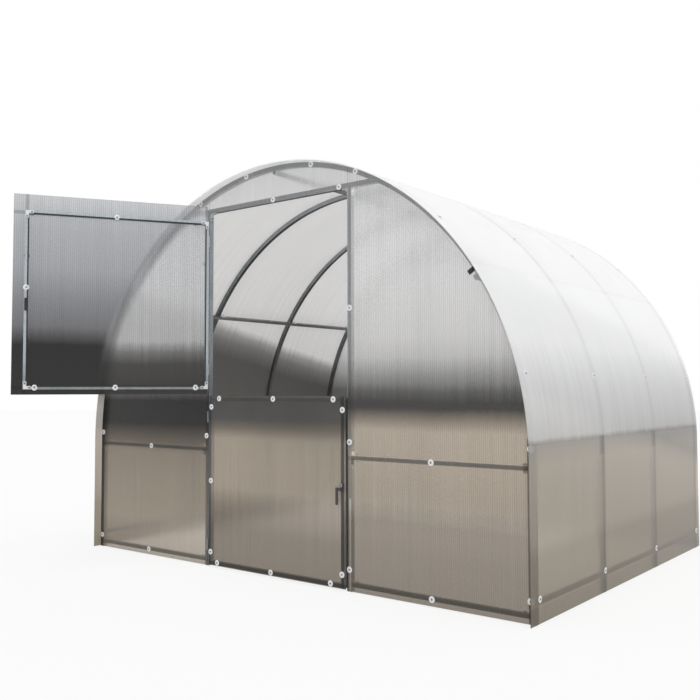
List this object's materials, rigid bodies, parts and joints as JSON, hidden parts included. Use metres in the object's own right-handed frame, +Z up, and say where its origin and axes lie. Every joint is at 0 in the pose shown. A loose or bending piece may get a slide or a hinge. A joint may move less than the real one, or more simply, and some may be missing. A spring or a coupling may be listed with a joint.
{
  "type": "arched greenhouse",
  "caption": "Arched walk-in greenhouse with square-tube bows on straight legs, clear twin-wall sheet cover and a split entry door in the front gable.",
  "frame": {"origin": "on the ground, in the middle of the room between the four bows", "axes": "+Z up, the front gable with the door faces -Y, +X to the right of someone facing the door"},
  "size_m": [3.0086, 3.1931, 2.1941],
  "materials": {
    "galvanised_tube": "dull galvanised square tube",
    "zinc_plate": "bright zinc-plated pressed steel",
    "dark_hardware": "satin black paint",
    "twin_wall_sheet": "clear twin-wall polycarbonate with fine flutes"
  },
  "bodies": {
    "building": {"front_bow": "galvanised_tube", "second_bow": "galvanised_tube", "third_bow": "galvanised_tube", "rear_bow": "galvanised_tube", "left_legs": "galvanised_tube", "right_legs": "galvanised_tube", "couplings": "zinc_plate", "side_base_rails": "galvanised_tube", "ridge_purlin": "galvanised_tube", "side_purlins": "galvanised_tube", "purlin_brackets": "zinc_plate", "front_posts": "galvanised_tube", "front_header": "galvanised_tube", "front_mid_rails": "galvanised_tube", "front_base_rails": "galvanised_tube", "front_brackets": "zinc_plate", "rear_posts": "galvanised_tube", "rear_header": "galvanised_tube", "rear_mid_rails": "galvanised_tube", "rear_base_rails": "galvanised_tube", "rear_brackets": "zinc_plate", "post_hinges": "zinc_plate", "left_wall_sheet": "twin_wall_sheet", "left_roof_sheet": "twin_wall_sheet", "crown_sheet": "twin_wall_sheet", "right_roof_sheet": "twin_wall_sheet", "right_wall_sheet": "twin_wall_sheet", "front_left_sheet": "twin_wall_sheet", "front_top_sheet": "twin_wall_sheet", "front_right_sheet": "twin_wall_sheet", "rear_left_sheet": "twin_wall_sheet", "rear_middle_sheet": "twin_wall_sheet", "rear_right_sheet": "twin_wall_sheet"},
    "upper_leaf": {"upper_leaf_stiles": "galvanised_tube", "upper_leaf_rails": "galvanised_tube", "upper_leaf_sheet": "twin_wall_sheet", "upper_leaf_brackets": "zinc_plate", "upper_leaf_hinges": "zinc_plate", "upper_leaf_latch": "dark_hardware"},
    "lower_leaf": {"lower_leaf_stiles": "galvanised_tube", "lower_leaf_rails": "galvanised_tube", "lower_leaf_sheet": "twin_wall_sheet", "lower_leaf_brackets": "zinc_plate", "lower_leaf_hinges": "zinc_plate", "lower_leaf_handle": "dark_hardware"}
  },
  "joints": [
    {"name": "upper_leaf_hinge", "type": "hinge", "parent": "building", "child": "upper_leaf", "pos_m": [-0.494, -1.1365, 0], "axis": [0, 0, -1], "range_deg": [-122, 24]},
    {"name": "lower_leaf_hinge", "type": "hinge", "parent": "building", "child": "lower_leaf", "pos_m": [-0.494, -1.1365, 0], "axis": [0, 0, -1], "range_deg": [0, 146]}
  ]
}
